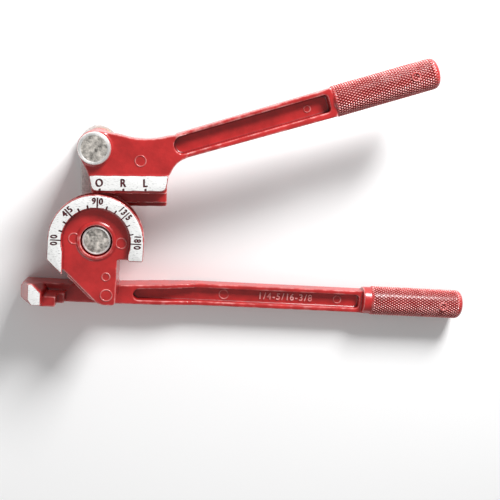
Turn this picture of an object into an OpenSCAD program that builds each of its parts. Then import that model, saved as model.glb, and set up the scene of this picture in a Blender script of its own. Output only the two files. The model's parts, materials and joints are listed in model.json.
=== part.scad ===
// Manual lever tube bender for three sizes of soft tube.
// It lies on its back: +Z points out of the dial, +X runs along the lower handle,
// and the origin is on the axis of the bending wheel, at the plane that the tool rests on.
// The shoe, its handle and the link are drawn part of the way through a bend.

/* [Tubes] */
// Outside diameter of the small tube
small_tube_d = 6.35; // [5.2:0.05:7.6]
// Outside diameter of the middle tube
middle_tube_d = 7.94; // [6.4:0.05:9]
// Outside diameter of the large tube
large_tube_d = 9.53; // [7.9:0.05:11.4]
// Radial room that a tube has in its groove
tube_room = 0.08; // [0.04:0.02:0.2]

/* [Bending wheel] */
// Bend radius of the small groove, to the tube's centre
small_bend_r = 14.3; // [13.4:0.1:15.4]
// Bend radius of the middle groove, to the tube's centre
middle_bend_r = 17.46; // [16.5:0.02:19]
// Bend radius of the large groove, to the tube's centre
large_bend_r = 23.8; // [21:0.1:28.6]
// How far each groove's walls stand out past the tube's centre
groove_lip = 2.2; // [1.6:0.1:2.6]
// Thickness of the wheel's rear wall
rear_wall = 2; // [1.4:0.1:3]
// Thickness of the walls between the grooves
middle_wall = 1.3; // [1:0.1:2]
// Thickness of the dial, which is the wheel's front wall
dial_t = 2.6; // [2:0.1:3.4]
// Width of the dial's ring
dial_w = 7.4; // [6:0.1:9]
// Depth of the recess inside the ring
dial_recess = 4; // [3:0.1:5]
// Straight length of the dial's tail on its zero side
zero_tail = 9; // [6:0.5:12]
// Straight length of the dial's tail on its far side
far_tail = 10; // [7:0.5:12]
// Radius of the hub behind the wheel
hub_r = 9.5; // [9:0.1:11]
// Height of the hub behind the wheel and behind the shoe
hub_h = 7; // [6:0.2:9]
// Height of the raised ring around the wheel pin's head
collar_h = 0.8; // [0.4:0.1:1.2]

/* [Lower handle] */
// Distance from the wheel's axis to the block's flat side
block_side = 11.7; // [9.5:0.1:13.4]
// Distance from the wheel's axis down to the block's end
block_end = 36.3; // [34:0.1:40]
// Angle of the block's slanted side below the wheel
slant_angle = 43.7; // [40:0.1:48]
// How far the block's foot spreads past its front face
foot_flare = 3.2; // [2:0.1:4]
// Thickness of the bar that carries the hook
bar_t = 14.3; // [11:0.1:14.6]
// Width of the bar that carries the hook
bar_w = 10.9; // [9:0.1:13]
// Distance from the wheel's axis down to the middle of the bar and the arm
arm_drop = 34.8; // [32:0.1:38]
// Width of the arm
arm_w = 13.4; // [11:0.1:16]
// Thickness of the arm past its step
arm_t = 9.6; // [8:0.1:11]
// Distance from the wheel's axis to the start of the lower grip
arm_reach = 160; // [133:1:192]
// Width of the rails along both arms
rail_w = 2.6; // [2:0.1:3.4]
// Thickness of the web between the rails of both arms
web_t = 3; // [2:0.1:4]

/* [Hook] */
// Gap between the hook and each tube
hook_gap = 0.9; // [0.4:0.1:1.5]
// Width of the hook's tip
tip_w = 7; // [5.6:0.1:9]
// How far the hook's tip rises past its bar
tip_rise = 4.9; // [3:0.1:6]
// Height of the hook's tip across the tool
tip_h = 12; // [10:0.1:14]
// How far the hook's outer side spreads from tip to foot
hook_flare = 7.8; // [5:0.1:10]
// Size of the slanted corner at the hook's tip
tip_corner = 4.9; // [3:0.1:6]

/* [Grips] */
// Radius of both grips
grip_r = 8.8; // [7.4:0.05:10.5]
// Length of the lower grip with its neck
lower_grip_len = 63; // [53:1:76]
// Length of the upper grip
upper_grip_len = 62; // [52:0.5:74]
// Rounding of the grips' ends
grip_end_r = 4; // [1:0.1:5]
// Length of the lower grip's neck
neck_len = 4; // [3:0.5:7]

/* [Upper handle] */
// Distance between the wheel's axis and the shoe's pivot
link_centres = 51; // [50:0.1:58]
// Length of the shoe along the tube
shoe_len = 42; // [35:0.5:50]
// Gap between the shoe and the wheel's walls
shoe_gap = 0.35; // [0.3:0.05:0.6]
// Gap between the shoe's front lip and the dial's edge
dial_gap = 1.8; // [1:0.1:2.4]
// Height of the marked band along the shoe
band_h = 8.5; // [6:0.1:10]
// How far the marked band stands out
band_t = 0.6; // [0.3:0.1:1]
// Angle between the shoe and its handle
handle_angle = 16.65; // [12:0.05:20]
// How far the handle's centre line passes below the shoe's pivot
handle_offset = 11.75; // [10:0.05:13]
// Distance from the shoe's pivot to the upper grip, along the handle
handle_reach = 131; // [109:1:157]
// Width of the upper arm
upper_arm_w = 16; // [13:0.1:19.2]
// Thickness of the upper arm
upper_arm_t = 12.8; // [10:0.1:14]
// Radius of the boss around the shoe's pivot
boss_r = 9.4; // [9.2:0.1:11]

/* [Link, pins and washers] */
// Thickness of the link plate
link_t = 3; // [2.5:0.1:4]
// Width of the link plate
link_w = 22; // [19:0.5:24]
// Diameter of both pins
pin_d = 12; // [10:0.1:12.4]
// Radial running clearance of each pin in the link
pin_fit = 0.05; // [0.02:0.01:0.08]
// Diameter of the wheel pin's head
wheel_head_d = 15.8; // [14:0.1:16.4]
// Thickness of the wheel pin's head
wheel_head_t = 4; // [3:0.1:5]
// How far the wheel pin's head lies below the dial's recess
head_sink = 1; // [0.5:0.1:2]
// Diameter of the shoe pin's head
shoe_head_d = 17.7; // [16:0.1:18.4]
// Thickness of the shoe pin's head
shoe_head_t = 3.5; // [2.8:0.1:4.5]
// Thickness of the thrust washers
thrust_t = 0.8; // [0.5:0.1:1.2]
// Thickness of the rear washers
washer_t = 1; // [0.8:0.1:1.5]
// Thickness of the retaining clips
clip_t = 1.2; // [1:0.1:1.5]
// Length of pin that stands out behind each clip
pin_tail = 1.6; // [1.2:0.1:2.5]

/* [Drawn position] */
// Bend angle at which the tool is drawn
drawn_bend = 87; // [0:1:180]

/* [Hidden] */
$fn = 96;

// Small values shared by several pieces
eps = 0.01;
side_gap = 0.1;       // play between pieces stacked on a pin
step_gap = 0.3;       // play between the shoe's steps and the wheel's
washer_room = 0.15;   // radial room of a washer on its pin
cross_gap = 1;        // how far the shoe passes above the lower arm
far = 400;            // longer than the tool

// Heights of the stack on each pin, from the rest plane up
z_clip = pin_tail;
z_washer = z_clip + clip_t + side_gap;
z_link = z_washer + washer_t + side_gap;
z_thrust = z_link + link_t + side_gap;
z_hub = z_thrust + thrust_t + side_gap;
z_wheel = z_hub + hub_h;

// Radii of the three grooves' tubes, and the heights of their centres
small_r = small_tube_d / 2 + tube_room;
middle_r = middle_tube_d / 2 + tube_room;
large_r = large_tube_d / 2 + tube_room;
z_small = z_wheel + rear_wall + small_r;
z_middle = z_small + small_r + middle_wall + middle_r;
z_large = z_middle + middle_r + middle_wall + large_r;
z_step_1 = z_small + small_r;     // where the wheel widens to the middle groove's wall
z_step_2 = z_middle + middle_r;   // where it widens to the large groove's wall
z_flange = z_large + large_r;
z_dial = z_flange + dial_t;
z_web = z_dial - dial_recess;
z_seat = z_web - head_sink - wheel_head_t;

// Radii of the wheel's walls
rear_r = small_bend_r + groove_lip;
step_r = middle_bend_r + groove_lip;
dial_r = large_bend_r + groove_lip;
ring_r = dial_r - dial_w;
head_room = 0.8;
collar_w = 1.7;

// Grooves as [bend radius, height of the centre, radius]
grooves = [
    [small_bend_r, z_small, small_r],
    [middle_bend_r, z_middle, middle_r],
    [large_bend_r, z_large, large_r]
];

// Lower handle
slant_slope = tan(slant_angle);
block_corner_r = 2.2;
bar_end = -(large_bend_r + large_tube_d / 2 + hook_gap + tip_w + hook_flare);
bar_z = min(bar_t, z_wheel + step_gap - cross_gap);
arm_sink = 1.8;       // how far the arm's middle plane lies below the grip's axis
arm_z = grip_r - arm_sink - arm_t / 2;
bar_sag = 0.7;        // how far the bar's lower side lies below the arm's
bar_bottom = -arm_drop - arm_w / 2 - bar_sag;
bar_top = bar_bottom + bar_w;
arm_root = block_side - 8;
arm_step_start = 40;
arm_step_end = 58;
pocket_start = 20;
pocket_end_gap = 2;
pocket_corner_r = 2;
lap = 1;              // how far solids of one casting run into each other
block_tip = 1.5;      // flat at the foot of the slanted side
dial_foot = 1.6;      // how far the dial's left tail spreads past the block's front
tail_side = 0.9;      // how much narrower the dial's recess is beside its tail
link_room = 4;        // room between the link's end and the foot
grip_z = grip_r;
grip_rise = 0.8;      // how far the lower grip's axis lies above the arm's
neck_r = grip_r - 0.6;
z_tip = z_large + large_r * 0.4;
bar_corner = 2;
tip_heel = 3;         // height of the slope at the tip's lower left corner
step_margin = 1;      // from the bar's lower side to the hook's lower steps
step_h = bar_w - 5;   // height of those steps across the tool

// Shoe and upper handle, in a frame whose origin is the shoe's pivot and whose X runs along the tube
z_shoe = z_wheel + step_gap;
z_shoe_front = z_dial - 0.5;
z_head = z_shoe_front - band_t;
sole = link_centres - dial_r - dial_gap;
shoe_left = 2.4;
shoe_right = shoe_len - shoe_left;
shoe_corner_r = 3.3;
block_top = 11;
throat_r = 12.5;
throat_x = shoe_right + 13.1;
throat_y = -sole + 6.2;
crown_r = 41;
crown_x = 27;
crown_y = 45.9;
neck_x = 14;          // where the head's plate ends inside the arm, past the shoe's end
neck_y = 8.4;
throat_from = 162;    // where the throat's curve leaves the shoe
crown_to = 251;       // where the crown's curve ends, towards the boss
left_tangent = 200.6; // where the straight edges leave the boss
crown_tangent = 72.5;
rib_w = 10;
plate_step = 0.4;     // how far the plate at the shoe stands out from the arm
z_arm = z_head - plate_step - upper_arm_t;
z_plate = z_arm + plate_step;
arm_taper = 1.1;      // how much narrower the arm is at the shoe, on each side
upper_arm_start = shoe_len + 2;
upper_pocket_start = shoe_len - 1;
upper_pocket_shift = 0.4;
upper_grip_z = z_arm + upper_arm_t / 2 - 0.6;

// Pins
tail_chamfer = 0.6;
clip_groove = 1;      // depth of the groove for the clip
wheel_head_chamfer = 0.8;
shoe_head_chamfer = 1.4;
clip_rim = 2.2;
clip_mouth = 0.68;    // of the pin's diameter

function arc(x, y, r, from, to, n = 12) = [
    for (i = [0 : n]) let (a = from + (to - from) * i / n) [x + r * cos(a), y + r * sin(a)]
];

// Places children on the shoe's pivot, with X along the tube at the drawn bend
module at_shoe() {
    rotate([0, 0, 90 - drawn_bend])
        translate([0, link_centres, 0])
            children();
}

// A ring or disc from one height to another
module disc(r, from, to) {
    translate([0, 0, from]) cylinder(r = r, h = to - from);
}

// Half of the wheel's section, to the right of its axis
module wheel_section() {
    difference() {
        union() {
            translate([0, z_wheel]) square([rear_r, z_step_1 - z_wheel]);
            translate([0, z_step_1]) square([step_r, z_step_2 - z_step_1]);
            translate([0, z_step_2]) square([dial_r, z_dial - z_step_2]);
        }
        for (g = grooves) {
            translate([g[0], g[1]]) circle(r = g[2]);
            translate([g[0], g[1] - g[2]]) square([dial_r, 2 * g[2]]);
        }
    }
}

// Outline of the wheel and the block below it, seen from the front.
// spread moves the slanted side outwards.
module front_outline(spread) {
    shift = spread / cos(slant_angle);
    slant_x = -dial_r + (block_end - zero_tail - shift) / slant_slope;
    polygon(concat(
        [[block_side, dial_r + 1], [-dial_r - 1, dial_r + 1], [-dial_r - 1, -zero_tail - shift + slant_slope]],
        [[slant_x - block_tip, -block_end + block_tip * slant_slope], [slant_x + block_tip, -block_end]],
        arc(block_side - block_corner_r, -block_end + block_corner_r, block_corner_r, 270, 360),
        [[block_side, -far_tail], [dial_r + 1, -far_tail], [dial_r + 1, dial_r + 1]]
    ));
}

// The grooved wheel, with a straight tail on each side
module wheel_and_block() {
    rotate_extrude(angle = 180) wheel_section();
    rotate([90, 0, 0]) linear_extrude(far_tail) wheel_section();
    // front of the block, down from the zero side
    intersection() {
        union() {
            rotate([90, 0, 0]) linear_extrude(block_end) mirror([1, 0]) wheel_section();
            translate([-eps, -block_end, z_wheel])
                cube([block_side + eps, block_end, z_dial - z_wheel]);
        }
        linear_extrude(z_dial + 1) front_outline(0);
    }
    // the dial's left tail, a little longer than the block's slanted side
    intersection() {
        rotate([90, 0, 0]) linear_extrude(block_end) mirror([1, 0]) wheel_section();
        translate([0, 0, z_flange]) linear_extrude(dial_t + 1) front_outline(dial_foot);
    }
    // the block's wider foot, behind the large groove
    intersection() {
        union() {
            rotate([90, 0, 0]) linear_extrude(block_end) mirror([1, 0]) wheel_section();
            translate([-eps, -block_end, z_wheel])
                cube([block_side + eps, block_end - far_tail, z_step_2 - z_wheel]);
        }
        linear_extrude(z_step_2) front_outline(foot_flare);
    }
    // foot below the wheel, clear of the link's swing
    intersection() {
        translate([-rear_r, -block_end, 0])
            cube([rear_r + block_side, block_end - link_w / 2 - link_room, z_wheel + 1]);
        linear_extrude(z_wheel + 1) front_outline(foot_flare);
    }
    disc(hub_r, z_hub, z_wheel + 1);
}

// Recess inside the dial's ring, open towards the block
module dial_pocket() {
    translate([0, 0, z_web]) {
        cylinder(r = ring_r, h = far);
        translate([-ring_r + tail_side, -2 * block_end, 0])
            cube([2 * (ring_r - tail_side), 2 * block_end, far]);
    }
}

// Outline of the lower arm, seen from the front: as wide as the bar at the block
module lower_arm_outline() {
    polygon([
        [arm_root, bar_bottom],
        [arm_step_end, -arm_drop - arm_w / 2],
        [arm_reach + lap, -arm_drop - arm_w / 2],
        [arm_reach + lap, -arm_drop + arm_w / 2],
        [arm_step_end, -arm_drop + arm_w / 2],
        [arm_root, bar_top]
    ]);
}

// The right end of a pocket, with rounded corners, up to x
function pocket_right(x, y, half) = concat(
    arc(x - pocket_corner_r, y - half + pocket_corner_r, pocket_corner_r, 270, 360, 6),
    arc(x - pocket_corner_r, y + half - pocket_corner_r, pocket_corner_r, 0, 90, 6)
);

// Outline of the lower arm's pocket: round at its left end, and bent with the arm
module lower_pocket_outline() {
    half = arm_w / 2 - rail_w;
    x = pocket_start + half;
    k = (x - arm_root) / (arm_step_end - arm_root);
    y = (1 - k) * (bar_bottom + bar_top) / 2 - k * arm_drop;
    r = (1 - k) * bar_w / 2 + k * arm_w / 2 - rail_w;
    polygon(concat(
        pocket_right(arm_reach - pocket_end_gap, -arm_drop, half),
        [[arm_step_end, -arm_drop + half]],
        arc(x, y, r, 90, 270, 16),
        [[arm_step_end, -arm_drop - half]]
    ));
}

// The lower arm: a bar at the block that steps back to a thinner rail-and-web section
module lower_arm() {
    difference() {
        intersection() {
            translate([0, -arm_drop + arm_w, 0])
                rotate([90, 0, 0])
                    linear_extrude(2 * arm_w)
                        polygon([
                            [0, 0],
                            [arm_step_start, 0],
                            [arm_step_end, arm_z],
                            [far, arm_z],
                            [far, arm_z + arm_t],
                            [arm_step_end, arm_z + arm_t],
                            [arm_step_start, bar_z],
                            [0, bar_z]
                        ]);
            linear_extrude(far) lower_arm_outline();
        }
        for (z = [arm_z + arm_t / 2 + web_t / 2, arm_z + arm_t / 2 - web_t / 2 - far])
            translate([0, 0, z]) linear_extrude(far) lower_pocket_outline();
    }
}

// A round grip along +X with rounded ends, starting at the origin
module grip(len) {
    rotate([0, 90, 0])
        rotate_extrude()
            polygon(concat(
                [[0, 0], [grip_r - grip_end_r / 2, 0], [grip_r, grip_end_r / 2]],
                arc(grip_r - grip_end_r, len - grip_end_r, grip_end_r, 0, 90, 8),
                [[0, len]]
            ));
}

// The bar behind the tubes, with the hook's stepped post at its end
module hook() {
    tip_x = -(large_bend_r + large_tube_d / 2 + hook_gap);
    tip_top = bar_top + tip_rise;
    linear_extrude(bar_z)
        polygon([
            [bar_end + bar_corner, bar_top],
            [bar_end, bar_top - bar_corner],
            [bar_end, bar_bottom + bar_corner],
            [bar_end + bar_corner, bar_bottom],
            [arm_root + 2 * lap, bar_bottom],
            [arm_root + 2 * lap, bar_top]
        ]);
    hull() {
        translate([0, 0, z_tip - lap])
            linear_extrude(lap)
                polygon([
                    [tip_x - tip_w, tip_top],
                    [tip_x - tip_corner, tip_top],
                    [tip_x, tip_top - tip_corner],
                    [tip_x, tip_top - tip_h],
                    [tip_x - tip_w + bar_corner, tip_top - tip_h],
                    [tip_x - tip_w, tip_top - tip_h + tip_heel]
                ]);
        translate([0, 0, bar_z - lap])
            linear_extrude(lap)
                polygon([
                    [bar_end + bar_corner, bar_top],
                    [bar_end, bar_top - bar_corner],
                    [bar_end, bar_bottom + bar_corner],
                    [bar_end + bar_corner, bar_bottom],
                    [tip_x, bar_bottom],
                    [tip_x, bar_top - tip_corner / 2],
                    [tip_x - tip_corner / 2, bar_top]
                ]);
    }
    // two lower steps that bear on the middle and the small tube
    steps = [
        [middle_bend_r + middle_tube_d / 2 + hook_gap, z_step_2 - 1],
        [small_bend_r + small_tube_d / 2 + hook_gap, z_step_1 - 1]
    ];
    for (s = steps)
        translate([tip_x - 2 * lap, bar_bottom + step_margin, bar_z - lap])
            cube([-tip_x + 2 * lap - s[0], step_h, s[1] - bar_z + lap]);
}

module lower_handle() {
    color("firebrick")
        difference() {
            union() {
                difference() {
                    wheel_and_block();
                    dial_pocket();
                }
                lower_arm();
                hook();
                disc(wheel_head_d / 2 + head_room + collar_w, z_web - lap, z_web + collar_h);
                translate([arm_reach, grip_rise - arm_drop, grip_z])
                    rotate([0, 90, 0])
                        cylinder(r = neck_r, h = neck_len + lap);
                translate([arm_reach + neck_len, grip_rise - arm_drop, grip_z])
                    grip(lower_grip_len - neck_len);
            }
            disc(pin_d / 2, -lap, z_dial + lap);
            disc(wheel_head_d / 2 + head_room, z_seat, z_dial + lap);
        }
}

// Outline of the shoe and the plate between it and its boss
module head_outline() {
    polygon(concat(
        [[boss_r * cos(left_tangent), boss_r * sin(left_tangent)], [-shoe_left - 1, -sole + band_h]],
        arc(-shoe_left + shoe_corner_r, -sole + shoe_corner_r, shoe_corner_r, 180, 270, 8),
        arc(shoe_right - 1 - shoe_corner_r, -sole + shoe_corner_r, shoe_corner_r, 270, 360, 8),
        [[shoe_right, -sole + band_h]],
        arc(throat_x, throat_y, throat_r, throat_from, 90 + handle_angle, 10),
        [[shoe_right + neck_x, neck_y]],
        arc(crown_x, crown_y, crown_r, 270 + handle_angle, crown_to, 10),
        [[boss_r * cos(crown_tangent), boss_r * sin(crown_tangent)], [0, 0]]
    ));
}

// Places children on the upper arm's axis
module along_upper_arm() {
    rotate([0, 0, handle_angle]) translate([0, -handle_offset, 0]) children();
}

module upper_arm() {
    along_upper_arm()
        translate([0, 0, z_arm])
            linear_extrude(upper_arm_t)
                polygon([
                    [upper_arm_start, -upper_arm_w / 2 + arm_taper],
                    [handle_reach + lap, -upper_arm_w / 2],
                    [handle_reach + lap, upper_arm_w / 2],
                    [upper_arm_start, upper_arm_w / 2 - arm_taper]
                ]);
}

// The pockets on both sides of the upper arm, which run into the plate at the shoe
module upper_pockets() {
    half = (upper_arm_w - arm_taper) / 2 - rail_w;
    along_upper_arm()
        for (z = [z_arm + upper_arm_t / 2 + web_t / 2, z_arm + upper_arm_t / 2 - web_t / 2 - far])
            translate([0, upper_pocket_shift, z])
                linear_extrude(far)
                    polygon(concat(
                        pocket_right(handle_reach - pocket_end_gap, 0, half),
                        arc(upper_pocket_start + half, 0, half, 90, 270, 16)
                    ));
}

// The stepped block behind the shoe's front, cut back where it would foul the wheel when it swings open
module shoe_block() {
    drops = [
        [link_centres - rear_r - shoe_gap, z_shoe, z_step_1 - step_gap],
        [link_centres - step_r - shoe_gap, z_step_1 - step_gap, z_step_2 - step_gap],
        [link_centres - dial_r - shoe_gap, z_step_2 - step_gap, z_flange - step_gap]
    ];
    for (d = drops)
        translate([0, 0, d[1] - eps])
            linear_extrude(d[2] - d[1] + 2 * eps) {
                translate([0, -d[0]]) square([shoe_right - 1, d[0] - block_top]);
                intersection() {
                    circle(r = d[0]);
                    translate([-shoe_left, -d[0]]) square([2 * shoe_left, d[0] - block_top]);
                }
            }
}

module upper_handle() {
    color("firebrick")
        at_shoe()
            difference() {
                union() {
                    disc(boss_r, z_hub, z_shoe_front);
                    translate([0, 0, z_plate]) linear_extrude(z_head - z_plate) head_outline();
                    // marked band along the shoe
                    intersection() {
                        translate([0, 0, z_plate]) linear_extrude(z_shoe_front - z_plate) head_outline();
                        translate([-far / 2, -sole - 1, 0]) cube([far, band_h + 1, far]);
                    }
                    shoe_block();
                    // rib from the boss to the stepped block
                    translate([-shoe_left, -block_top - 2 * lap, z_shoe])
                        cube([rib_w, block_top + 2 * lap, z_plate - z_shoe + lap]);
                    upper_arm();
                    along_upper_arm()
                        translate([handle_reach, 0, upper_grip_z])
                            grip(upper_grip_len);
                }
                upper_pockets();
                disc(pin_d / 2, -lap, z_dial + lap);
                // a straight groove for each tube
                for (g = grooves)
                    translate([-far / 2, g[0] - link_centres, g[1]])
                        rotate([0, 90, 0])
                            cylinder(r = g[2], h = far);
            }
}

module link_plate() {
    color("lightsteelblue")
        rotate([0, 0, 90 - drawn_bend])
            translate([0, 0, z_link])
                linear_extrude(link_t)
                    difference() {
                        union() {
                            circle(d = link_w);
                            translate([0, link_centres]) circle(d = link_w);
                            translate([-link_w / 2, 0]) square([link_w, link_centres]);
                        }
                        circle(r = pin_d / 2 + pin_fit);
                        translate([0, link_centres]) circle(r = pin_d / 2 + pin_fit);
                    }
}

// A headed pin that stands on the rest plane, with a groove for its clip
module headed_pin(head_d, head_t, seat, chamfer) {
    difference() {
        rotate_extrude()
            polygon([
                [0, 0],
                [pin_d / 2 - tail_chamfer, 0],
                [pin_d / 2, tail_chamfer],
                [pin_d / 2, seat],
                [head_d / 2, seat],
                [head_d / 2, seat + head_t - chamfer],
                [head_d / 2 - chamfer, seat + head_t],
                [0, seat + head_t]
            ]);
        difference() {
            disc(pin_d, z_clip - side_gap / 2, z_clip + clip_t + side_gap / 2);
            disc(pin_d / 2 - clip_groove, 0, far);
        }
    }
}

module wheel_pin() {
    color("silver")
        headed_pin(wheel_head_d, wheel_head_t, z_seat, wheel_head_chamfer);
}

module shoe_pin() {
    color("silver")
        at_shoe()
            headed_pin(shoe_head_d, shoe_head_t, z_shoe_front, shoe_head_chamfer);
}

module washer(r, from, t) {
    difference() {
        disc(r, from, from + t);
        disc(pin_d / 2 + washer_room, from - lap, from + t + lap);
    }
}

module wheel_thrust_washer() {
    color("goldenrod") washer(hub_r, z_thrust, thrust_t);
}

module shoe_thrust_washer() {
    color("goldenrod") at_shoe() washer(boss_r, z_thrust, thrust_t);
}

module wheel_rear_washer() {
    color("silver") washer(hub_r, z_washer, washer_t);
}

module shoe_rear_washer() {
    color("silver") at_shoe() washer(boss_r, z_washer, washer_t);
}

// An open clip that snaps sideways into the pin's groove
module clip() {
    mouth = pin_d * clip_mouth;
    difference() {
        disc(pin_d / 2 + clip_rim, z_clip, z_clip + clip_t);
        disc(pin_d / 2 - clip_groove + side_gap / 2, 0, far);
        translate([-mouth / 2, -pin_d, z_clip - lap]) cube([mouth, pin_d, clip_t + 2 * lap]);
    }
}

module wheel_pin_clip() {
    color("dimgray") clip();
}

module shoe_pin_clip() {
    color("dimgray") at_shoe() clip();
}

lower_handle();
upper_handle();
link_plate();
wheel_pin();
shoe_pin();
wheel_thrust_washer();
shoe_thrust_washer();
wheel_rear_washer();
shoe_rear_washer();
wheel_pin_clip();
shoe_pin_clip();
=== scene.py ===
"""Looks of a three-size lever tube bender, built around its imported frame.

The two handles are castings: each is rounded off like a piece from a die, enamelled red, ground
bare on its working faces, and marked. The knurled grips, the pins and the pressed steel pieces
have their own classes. Everything is in metres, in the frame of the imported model.
"""

import json
import logging
import math
from collections.abc import Callable, Iterable
from dataclasses import dataclass, field
from enum import Enum

import bmesh
import bpy
import numpy as np
from mathutils import Matrix, Vector, noise


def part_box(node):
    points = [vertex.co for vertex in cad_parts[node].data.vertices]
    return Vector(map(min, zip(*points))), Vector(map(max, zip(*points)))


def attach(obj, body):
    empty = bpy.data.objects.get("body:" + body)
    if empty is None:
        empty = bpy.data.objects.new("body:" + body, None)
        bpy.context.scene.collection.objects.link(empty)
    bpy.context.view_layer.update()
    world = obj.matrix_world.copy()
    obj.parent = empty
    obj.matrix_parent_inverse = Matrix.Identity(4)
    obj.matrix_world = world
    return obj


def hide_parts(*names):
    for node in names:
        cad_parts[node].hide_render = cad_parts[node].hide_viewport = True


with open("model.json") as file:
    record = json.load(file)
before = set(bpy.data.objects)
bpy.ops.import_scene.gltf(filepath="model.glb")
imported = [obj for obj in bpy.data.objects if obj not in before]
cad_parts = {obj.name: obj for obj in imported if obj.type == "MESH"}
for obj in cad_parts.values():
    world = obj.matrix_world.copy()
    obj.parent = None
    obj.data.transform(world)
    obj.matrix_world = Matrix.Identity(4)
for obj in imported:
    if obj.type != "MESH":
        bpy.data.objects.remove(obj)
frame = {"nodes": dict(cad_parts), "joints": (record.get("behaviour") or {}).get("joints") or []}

LOG = logging.getLogger("tube_bender")
MM = 0.001
Colour = tuple[float, float, float]
Tree = bpy.types.NodeTree
Node = bpy.types.Node
Socket = bpy.types.NodeSocket
Material = bpy.types.Material
Piece = bpy.types.Object


# -------------------- measures taken from the frame


def joint_pivot(name: str) -> Vector:
    """Where a joint's axis stands.

    Args:
        name: The joint's name in the record.

    Returns:
        A point on the axis, in metres.
    """
    for joint in frame["joints"]:
        if joint["name"] == name:
            return Vector(joint["pos_m"])
    raise KeyError(name)


SHOE_PIVOT = joint_pivot("shoe_handle_swing")
LINK_TURN = math.atan2(-SHOE_PIVOT.x, SHOE_PIVOT.y)

SHOE_PLACE = Matrix.Translation((SHOE_PIVOT.x, SHOE_PIVOT.y, 0)) @ Matrix.Rotation(LINK_TURN, 4, "Z")
WHEEL_PLACE = Matrix.Identity(4)

SHOE_HEAD_T = 3.5
RING_SINK = 0.15


class Level(Enum):
    """Heights of the working faces above the rest plane, read from the frame."""

    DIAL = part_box("lower_handle")[1].z
    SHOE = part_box("shoe_pin")[1].z - SHOE_HEAD_T * MM
    WHEEL_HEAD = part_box("wheel_pin")[1].z
    SHOE_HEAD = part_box("shoe_pin")[1].z


# -------------------- shared shader effects


class Effects:
    """Node groups that several finishes share, each built once."""

    _made: dict[str, Tree] = {}

    @classmethod
    def _group(cls, name: str, inputs: dict[str, float], outputs: tuple[str, ...]) -> Tree:
        """Start a node group whose sockets are all numbers.

        Args:
            name: The group's name.
            inputs: Each input's name and its default value.
            outputs: The outputs' names.

        Returns:
            The new group, with its input and output nodes.
        """
        tree = bpy.data.node_groups.new(name, "ShaderNodeTree")
        for label, value in inputs.items():
            socket = tree.interface.new_socket(name=label, in_out="INPUT", socket_type="NodeSocketFloat")
            socket.default_value = value
        for label in outputs:
            tree.interface.new_socket(name=label, in_out="OUTPUT", socket_type="NodeSocketFloat")
        tree.nodes.new("NodeGroupInput").name = "in"
        tree.nodes.new("NodeGroupOutput").name = "out"
        return tree

    @classmethod
    def mottle(cls) -> Tree:
        """Two scales of noise on object coordinates, as one height and one mask.

        Returns:
            A group with Fine, Coarse and Mix inputs and Height and Mask outputs.
        """
        if "mottle" in cls._made:
            return cls._made["mottle"]
        tree = cls._group("mottle", {"Fine": 900.0, "Coarse": 160.0, "Mix": 0.5}, ("Height", "Mask"))
        source, sink = tree.nodes["in"], tree.nodes["out"]
        place = tree.nodes.new("ShaderNodeTexCoord")
        fine = tree.nodes.new("ShaderNodeTexNoise")
        coarse = tree.nodes.new("ShaderNodeTexNoise")
        blend = tree.nodes.new("ShaderNodeMix")
        fine.inputs["Detail"].default_value = 3.0
        coarse.inputs["Detail"].default_value = 4.0
        coarse.inputs["Roughness"].default_value = 0.6
        for texture, scale in ((fine, "Fine"), (coarse, "Coarse")):
            tree.links.new(place.outputs["Object"], texture.inputs["Vector"])
            tree.links.new(source.outputs[scale], texture.inputs["Scale"])
        tree.links.new(source.outputs["Mix"], blend.inputs["Factor"])
        tree.links.new(fine.outputs["Fac"], blend.inputs["A"])
        tree.links.new(coarse.outputs["Fac"], blend.inputs["B"])
        tree.links.new(blend.outputs["Result"], sink.inputs["Height"])
        tree.links.new(coarse.outputs["Fac"], sink.inputs["Mask"])
        cls._made["mottle"] = tree
        return tree

    @classmethod
    def edges(cls) -> Tree:
        """Masks of pale edges, partly worn paint and partly painted highlight, and of painted shade in the
        hollows, from the piece's own curvature attribute.

        Returns:
            A group with Width and Break inputs, an output for the edge mask of wear and painted highlight,
            and an output for the mask of painted shade in hollows.
        """
        if "edges" in cls._made:
            return cls._made["edges"]
        tree = cls._group("edges", {"Width": 0.25, "Break": 220.0}, ("WearAndHighlight", "HollowShade"))
        source, sink = tree.nodes["in"], tree.nodes["out"]
        curve = tree.nodes.new("ShaderNodeAttribute")
        curve.attribute_name = "curvature"
        place = tree.nodes.new("ShaderNodeTexCoord")
        patches = tree.nodes.new("ShaderNodeTexNoise")
        patches.inputs["Detail"].default_value = 5.0
        tree.links.new(place.outputs["Object"], patches.inputs["Vector"])
        tree.links.new(source.outputs["Break"], patches.inputs["Scale"])
        shifted = tree.nodes.new("ShaderNodeMath")
        shifted.operation = "MULTIPLY_ADD"
        shifted.inputs[1].default_value = 0.35
        tree.links.new(patches.outputs["Fac"], shifted.inputs[0])
        tree.links.new(curve.outputs["Fac"], shifted.inputs[2])
        # edge mask: partly wear, partly where a painted highlight goes
        wear_and_highlight = tree.nodes.new("ShaderNodeMapRange")
        wear_and_highlight.interpolation_type = "SMOOTHSTEP"
        wear_and_highlight.inputs["From Min"].default_value = 0.76
        top = tree.nodes.new("ShaderNodeMath")
        top.operation = "ADD"
        top.inputs[1].default_value = 0.80
        tree.links.new(source.outputs["Width"], top.inputs[0])
        tree.links.new(top.outputs[0], wear_and_highlight.inputs["From Max"])
        tree.links.new(shifted.outputs[0], wear_and_highlight.inputs["Value"])
        # hollow mask for painted shade, from concave curvature
        hollow_shade = tree.nodes.new("ShaderNodeMapRange")
        hollow_shade.interpolation_type = "SMOOTHSTEP"
        hollow_shade.inputs["From Min"].default_value = 0.47
        hollow_shade.inputs["From Max"].default_value = 0.30
        tree.links.new(curve.outputs["Fac"], hollow_shade.inputs["Value"])
        tree.links.new(wear_and_highlight.outputs["Result"], sink.inputs["WearAndHighlight"])
        tree.links.new(hollow_shade.outputs["Result"], sink.inputs["HollowShade"])
        cls._made["edges"] = tree
        return tree


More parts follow.
